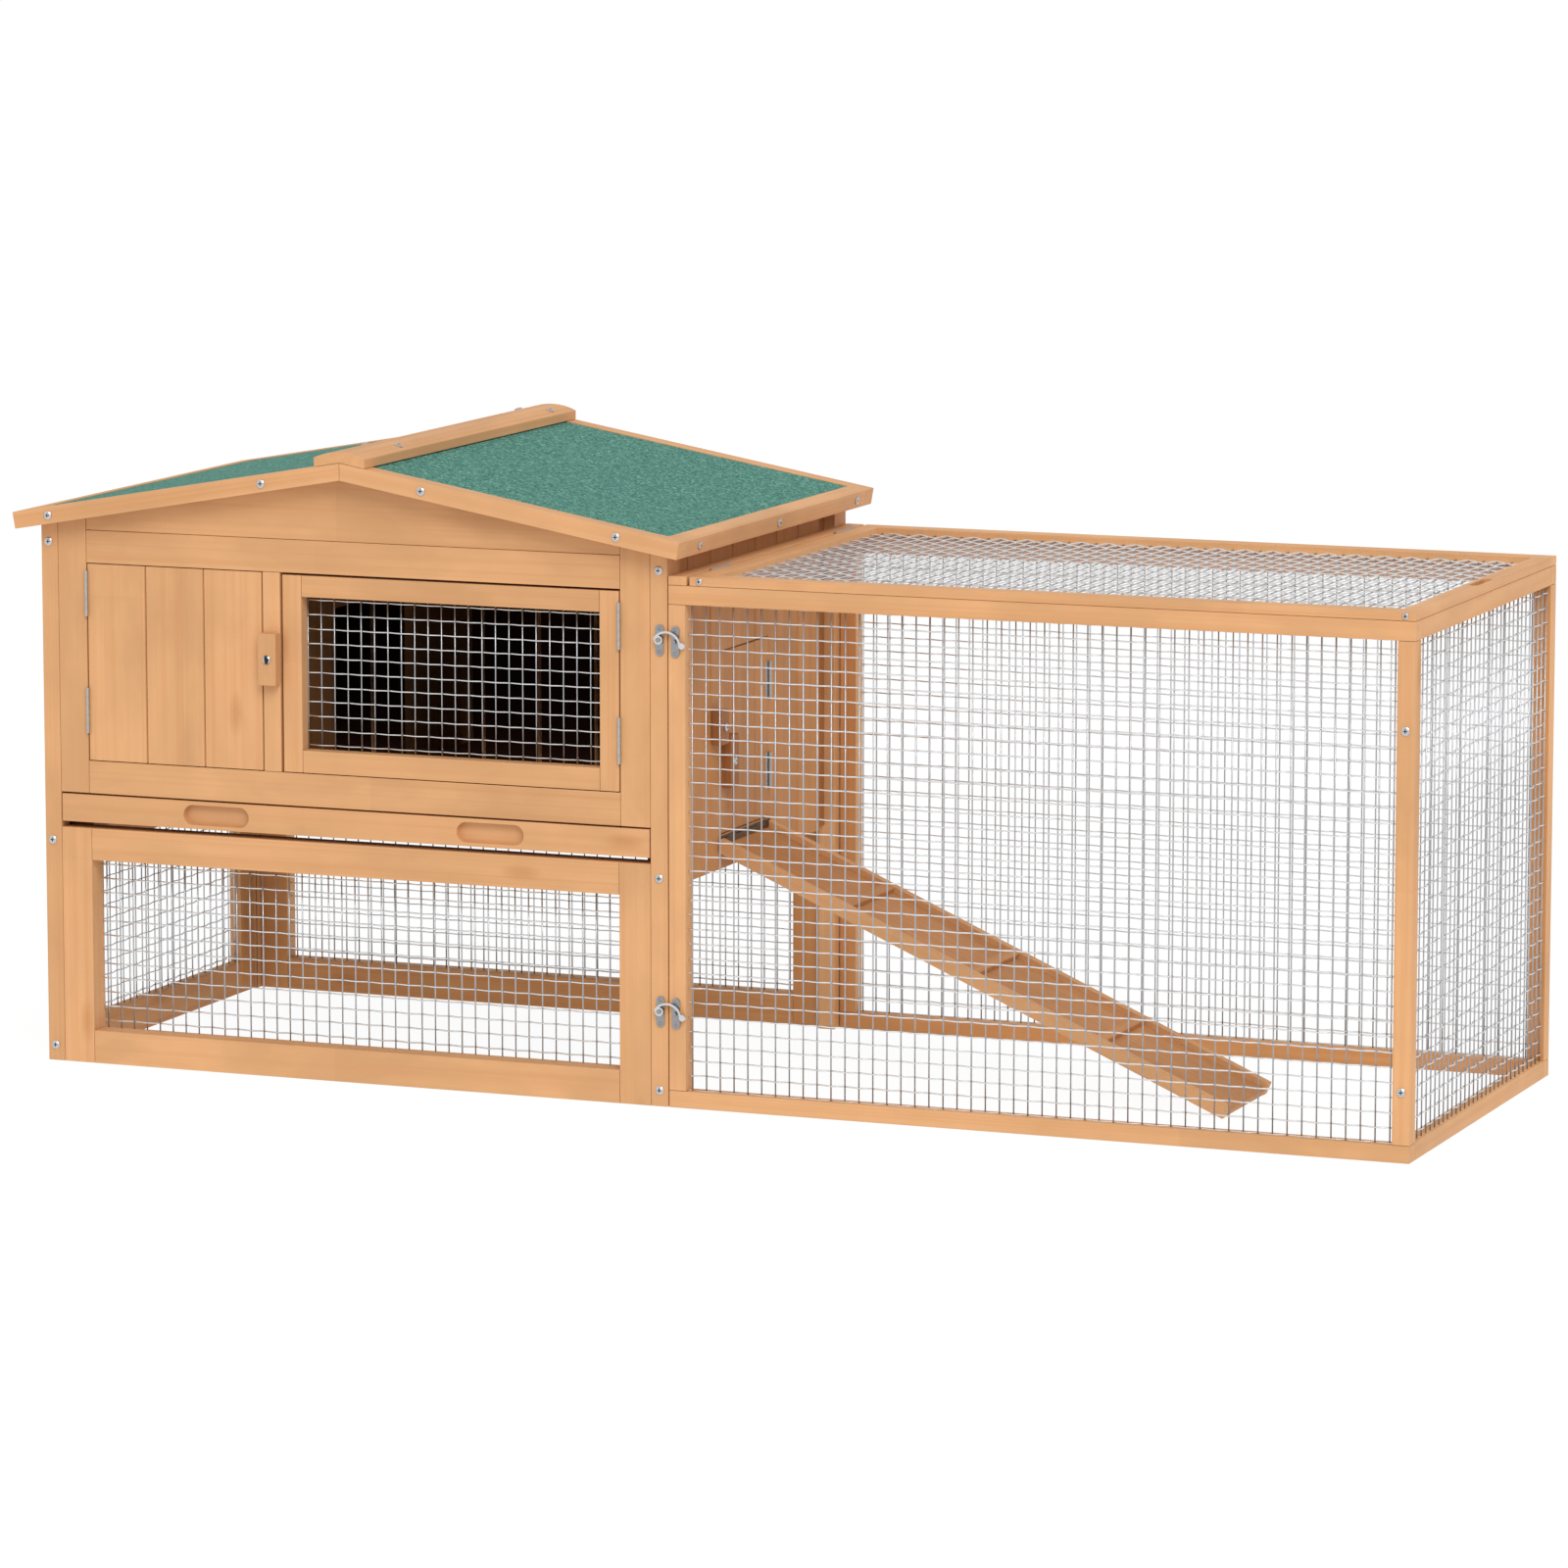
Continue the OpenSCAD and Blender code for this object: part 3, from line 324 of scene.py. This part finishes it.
def solids(node):
    """The node's separate solids, each a bmesh with whole flat faces."""
    whole = bmesh.new()
    whole.from_mesh(frame["nodes"][node].data)
    bmesh.ops.remove_doubles(whole, verts=whole.verts, dist=WELD)
    whole.faces.index_update()
    seen = set()
    found = []
    for first in whole.verts:
        if first in seen:
            continue
        island, queue = [], [first]
        seen.add(first)
        while queue:
            vert = queue.pop()
            island.append(vert)
            for edge in vert.link_edges:
                other = edge.other_vert(vert)
                if other not in seen:
                    seen.add(other)
                    queue.append(other)
        index = {v: i for i, v in enumerate(island)}
        solid = bmesh.new()
        copies = [solid.verts.new(v.co) for v in island]
        # In the order of the faces' numbers, as a set's own order changes from run to run.
        for face in sorted({f for v in island for f in v.link_faces}, key=lambda f: f.index):
            solid.faces.new([copies[index[v]] for v in face.verts])
        bmesh.ops.dissolve_limit(solid, angle_limit=FLAT, verts=solid.verts, edges=solid.edges)
        solid.normal_update()
        found.append(solid)
    whole.free()
    found.sort(key=lambda b: tuple(round(c, 4) for c in min(v.co[:] for v in b.verts)))
    return found


def sharp_edges(solid):
    """The edges where flat faces meet, without any line that crosses a flat face."""
    return [e for e in solid.edges
            if len(e.link_faces) == 2 and e.calc_face_angle() > SHARP]


def grain_axes(solid):
    """Along the solid's longest edge, across it, and the third way."""
    edges = sorted((e.verts[1].co - e.verts[0].co for e in sharp_edges(solid)),
                   key=lambda d: -d.length)
    along = edges[0].normalized()
    across = next(d for d in edges if abs(d.normalized().dot(along)) < 0.05).normalized()
    return along, across, along.cross(across)


def ease_edges(solid, width):
    """Rounds the edges where flat faces meet."""
    bmesh.ops.bevel(solid, geom=sharp_edges(solid), offset=width, segments=2,
                    profile=0.5, affect="EDGES", clamp_overlap=True)


# The run and its lid get a lighter tone than the house.
LIGHTER_PARTS = ("run_", "lid_", "hinge_batten")
EASE = 0.5 * MM
INNER_EASE = 0.7 * MM


def make_boards(node, materials, ease, choose=None):
    """Puts eased boards with their own grain in place of a wooden node's solids.

    The given function picks each face's material; without one all faces show the first.
    """
    rng = random.Random(node)
    pile = Pile()
    for solid in solids(node):
        along, across, third = grain_axes(solid)
        shift = Vector([rng.uniform(0, 40) for _ in range(3)])
        tone = rng.random() / 2 + (0.5 if node.startswith(LIGHTER_PARTS) else 0)
        ease_edges(solid, ease)
        solid.verts.index_update()
        verts = [v.co.copy() for v in solid.verts]
        grain = [shift + Vector((v.dot(along), v.dot(across), v.dot(third))) for v in verts]
        faces = [[v.index for v in f.verts] for f in solid.faces]
        slots = [choose(f) if choose else 0 for f in solid.faces]
        pile.add(verts, faces, slots, grain, tone)
        solid.free()
    piece = pile.object(node + "_wood", materials)
    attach(piece, BODY_OF[node])
    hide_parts(node)


def tube(points, radius, side_a, side_b, sides):
    """Rings about a line of points, as vertices and faces with closed ends."""
    turns = np.arange(sides) * 2 * math.pi / sides
    ring = np.outer(np.cos(turns), side_a) + np.outer(np.sin(turns), side_b)
    verts = (points[:, None, :] + radius * ring[None, :, :]).reshape(-1, 3)
    rows = len(points)
    faces = [(r * sides + i, r * sides + (i + 1) % sides,
              (r + 1) * sides + (i + 1) % sides, (r + 1) * sides + i)
             for r in range(rows - 1) for i in range(sides)]
    faces.append(tuple(reversed(range(sides))))
    faces.append(tuple(range((rows - 1) * sides, rows * sides)))
    return verts, faces


WIRE_PITCH = 15.7 * MM
WIRE_R = 0.8 * MM
# How far a crimped wire swings from the sheet's middle.
SWING = 1.75 * WIRE_R
INTO_FRAME = 3 * MM


def weave(node, materials, straight, crimped):
    """Woven wire in place of a sheet: straight wires along one axis, crimped across them."""
    low, high = (np.array(c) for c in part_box(node))
    middle = (low + high) / 2
    unit = np.eye(3)
    through = unit[3 - straight - crimped]
    pile = Pile()

    def places(axis):
        count = int((high[axis] - low[axis]) / WIRE_PITCH) + 1
        first = (low[axis] + high[axis] - (count - 1) * WIRE_PITCH) / 2
        return first + np.arange(count) * WIRE_PITCH

    across = places(crimped)
    for at in across:
        ends = np.array([low[straight] - INTO_FRAME, high[straight] + INTO_FRAME])
        points = np.tile(middle, (2, 1))
        points[:, crimped] = at
        points[:, straight] = ends
        pile.add(*tube(points, WIRE_R, unit[crimped], through, 8))
    for i, at in enumerate(places(straight)):
        quarters = np.arange(-2, 4 * len(across) - 1)
        run = across[0] + quarters * WIRE_PITCH / 4
        lift = SWING * np.cos(quarters / 4 * math.pi) * (-1) ** i
        shown = (run > low[crimped]) & (run < high[crimped])
        run = np.concatenate([[low[crimped] - INTO_FRAME], run[shown],
                              [high[crimped] + INTO_FRAME]])
        lift = np.concatenate([[0], lift[shown], [0]])
        points = np.tile(middle, (len(run), 1)) + np.outer(lift, through)
        points[:, straight] = at
        points[:, crimped] = run
        verts, faces = tube(points, WIRE_R, unit[straight], through, 6)
        # The crimped wires take the second, lighter wire: painted highlight.
        pile.add(verts, faces, 1)
    piece = pile.object(node + "_wire", materials, smooth=True)
    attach(piece, BODY_OF[node])
    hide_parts(node)


# The cross of a screw head lies within this share of its radius, its floor below CROSS_TOP.
CROSS_REACH = 0.56
HEAD_FOOT = 0.1 * MM
CROSS_TOP = 1.0 * MM


def make_screws(node, materials):
    """Screws in place of a node's, the cross of each head in the second material, a near-black
    painted shade.
    """
    pile = Pile()
    for solid in solids(node):
        foot = max(solid.faces, key=lambda f: f.calc_area())
        axis = -foot.normal
        centre = sum((v.co for v in solid.verts), Vector()) / len(solid.verts)
        base = foot.verts[0].co.dot(axis)
        radius = max((v.co - centre).cross(axis).length for v in solid.verts)
        slots = []
        for face in solid.faces:
            place = face.calc_center_median()
            lift = place.dot(axis) - base
            upright = abs(face.normal.dot(axis)) < 0.3
            inner = (place - centre).cross(axis).length < CROSS_REACH * radius
            in_cross = inner and lift > HEAD_FOOT and (upright or lift < CROSS_TOP)
            slots.append(1 if in_cross else 0)
        solid.verts.index_update()
        pile.add([v.co.copy() for v in solid.verts],
                 [[v.index for v in f.verts] for f in solid.faces], slots)
        solid.free()
    piece = pile.object(node + "_heads", materials)
    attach(piece, BODY_OF[node])
    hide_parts(node)


PLATE_WIDE = 6.4 * MM
PLATE_THICK = 0.5 * MM
PLATE_GAP = 0.15 * MM
PLATE_EASE = 0.2 * MM


def make_side_plates(material):
    """The side door's hinges have plates on the face of its boards, beside their barrels."""
    pile = Pile()
    face_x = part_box("side_door_boards")[1][0] + PLATE_GAP
    end_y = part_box("side_door_hinge_leaves")[0][1] - PLATE_GAP
    for solid in solids("side_door_hinge_leaves"):
        heights = [v.co.z for v in solid.verts]
        low = Vector((face_x, end_y - PLATE_WIDE, min(heights)))
        high = Vector((face_x + PLATE_THICK, end_y, max(heights)))
        solid.free()
        plate = bmesh.new()
        bmesh.ops.create_cube(plate, size=1, matrix=Matrix.LocRotScale(
            (low + high) / 2, None, high - low))
        ease_edges(plate, PLATE_EASE)
        plate.verts.index_update()
        pile.add([v.co.copy() for v in plate.verts],
                 [[v.index for v in f.verts] for f in plate.faces])
        plate.free()
    piece = pile.object("side_door_hinge_plates", [material])
    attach(piece, BODY_OF["side_door_hinge_leaves"])


def paint(node, material):
    """Gives a CAD node that shows a material of its own."""
    mesh = frame["nodes"][node].data
    mesh.materials.clear()
    mesh.materials.append(material)


# ---- the hutch ------------------------------------------------------------------

make_camera()
make_studio()

# The darker pines paint in the shade that the photo has in the run, grooves and cabin.
PINE = rgb(0.665, 0.358, 0.168)
SHADED = rgb(0.55, 0.255, 0.098)
DEEPER_SHADE = rgb(0.38, 0.155, 0.055)
GROOVE_SHADE = rgb(0.17, 0.055, 0.018)
# The inner pieces' darker pine is painted shade of the hutch's inside.
INNER_SHADE = rgb(0.30, 0.13, 0.05)
# Near-black pine: painted shade of the cabin's inside.
CABIN_SHADE = rgb(0.035, 0.010, 0.004)
OUTSIDE, IN_SHADED_CABIN, IN_SHADE, IN_SHADED_GROOVE, IN_DEEP_SHADE = range(5)
pines = [pine("stained_pine", PINE), pine("shaded_cabin_pine", CABIN_SHADE), pine("shaded_pine", SHADED),
         pine("shaded_groove_pine", GROOVE_SHADE), pine("deep_shaded_pine", DEEPER_SHADE)]
inner_shade_pine = pine("inner_pine", INNER_SHADE)
# The straight wires are painted darker and the crimped ones lighter: painted shade and painted
# highlight on the same galvanised wire.
wires = [galvanised("upright_wire_shaded", rgb(0.48, 0.49, 0.51), 0.36),
         galvanised("crosswise_wire_lit", rgb(0.82, 0.82, 0.82), 0.33)]
zinc = galvanised("bright_zinc", rgb(0.60, 0.60, 0.61), 0.3, 0.3)
hinge_zinc = galvanised("hinge_zinc", rgb(0.50, 0.49, 0.47), 0.42, 0.3)
latch_zinc = galvanised("latch_zinc", rgb(0.36, 0.36, 0.37), 0.34, 0.5)
hook_zinc = galvanised("hook_zinc", rgb(0.70, 0.70, 0.71), 0.24, 0.3)
# Near-black zinc for the screws' crosses: painted shade.
cross_shade = galvanised("screw_recess", rgb(0.05, 0.055, 0.065), 0.5)
dull = galvanised("dull_hinge", rgb(0.17, 0.11, 0.07), 0.5)

# The way that the shaded inner faces of the run and of the lower level look.
INWARD = {
    "right_wall": (1, 0, 0), "side_door_boards": (1, 0, 0), "run_end_frame": (-1, 0, 0),
    "run_back_frame": (0, -1, 0), "run_front_frame": (0, 1, 0), "lower_back_frame": (0, -1, 0),
    "lower_front_frame": (0, 1, 0), "lower_left_frame": (1, 0, 0)}
ALL_SHADED = {"ramp_board", "ramp_cleats"}
# The side door's handle and turn button are painted in deeper shade.
ALL_DEEP_SHADED = {"side_door_handle", "side_turn_button"}
# The right wall's strip beside the rear post lies deeper than its boards and is painted in
# deeper shade.
WALL_FACE_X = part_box("side_door_boards")[1][0]
STRIP_DEPTH = 3 * MM
# The sides of the grooves in these boards are painted in dark shade.
GROOVED = {"solid_door_boards", "left_wall", "right_wall", "back_wall", "side_door_boards"}
# The cabin's hollow, from the back of the front frame to the boards of the back wall.
CABIN_LOW = Vector((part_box("left_wall")[1][0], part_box("upper_front_frame")[1][1],
                    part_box("tray_front")[1][2]))
CABIN_HIGH = Vector((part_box("side_door_boards")[0][0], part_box("back_wall")[0][1],
                     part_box("ridge_cap")[1][2]))
CABIN_SLACK = 0.2 * MM
# These inner pieces are painted wholly in the cabin's near-black shade.
WHOLLY_SHADED_NODES = {"roof_decks", "tray_pan"}
# Of these nodes, faces within the cabin's hollow are painted in the same near-black shade.
OF_CABIN = {"corner_posts", "upper_front_frame", "left_wall", "back_wall", "door_mullion",
            "front_gable", "solid_door_boards", "right_wall", "side_door_boards"}
# A slanting face wider than this is the side of a groove and no eased edge.
EASED_WIDTH = 1.5 * MM


def pine_for(node):
    """Which of the pines each face of a node shows, most of them painted shade."""
    inward = Vector(INWARD.get(node, (0, 0, 0)))

    def choose(face):
        place, normal = face.calc_center_median(), face.normal
        slanted = min(abs(normal.x), abs(normal.y)) > 0.25 and abs(normal.z) < 0.1
        heights = [v.co.z for v in face.verts]
        wide = face.calc_area() > EASED_WIDTH * (max(heights) - min(heights))
        # Groove sides, the sunk strip, the handle, the button, the ramp, inner faces and faces
        # in the cabin's hollow take painted shade; the rest shows the stained pine.
        if node in GROOVED and slanted and wide:
            return IN_SHADED_GROOVE
        sunk = node == "right_wall" and place.x < WALL_FACE_X - STRIP_DEPTH
        if node in ALL_DEEP_SHADED or (sunk and normal.x > 0.5):
            return IN_DEEP_SHADE
        if node in ALL_SHADED or normal.dot(inward) > 0.5:
            return IN_SHADE
        if node in OF_CABIN and all(
                CABIN_LOW[i] - CABIN_SLACK < place[i] < CABIN_HIGH[i] + CABIN_SLACK
                for i in range(3)):
            return IN_SHADED_CABIN
        return OUTSIDE

    return choose


X, Y, Z = range(3)
# For each sheet, the axis of its straight wires and of its crimped ones.
STRAIGHT_AND_CRIMPED = {
    "lower_front_mesh": (Z, X), "lower_back_mesh": (Z, X), "lower_left_mesh": (Z, Y),
    "run_front_mesh": (Z, X), "run_back_mesh": (Z, X), "run_end_mesh": (Z, Y),
    "mesh_door_mesh": (Z, X), "lid_mesh": (Y, X)}

for node in sorted(SLOT_OF):
    kind = SLOT_OF[node]
    if kind == "stained_pine":
        make_boards(node, pines, EASE, pine_for(node))
    elif kind == "inner_pine":
        # The roof decks and the tray's pan show the cabin's near-black painted shade, other
        # inner pieces the darker inner painted shade.
        shown = pines[IN_SHADED_CABIN] if node in WHOLLY_SHADED_NODES else inner_shade_pine
        make_boards(node, [shown], INNER_EASE)
    elif kind == "wire_mesh":
        weave(node, wires, *STRAIGHT_AND_CRIMPED[node])
    elif kind == "roof_felt":
        paint(node, mineral_felt())
    elif kind == "ramp_hinge":
        paint(node, dull)
    elif node.endswith(("screw", "screws")):
        make_screws(node, [zinc, cross_shade])
    elif "hinge" in node:
        paint(node, hinge_zinc)
    else:
        paint(node, hook_zinc if node.endswith("hook") else latch_zinc)

make_side_plates(zinc)
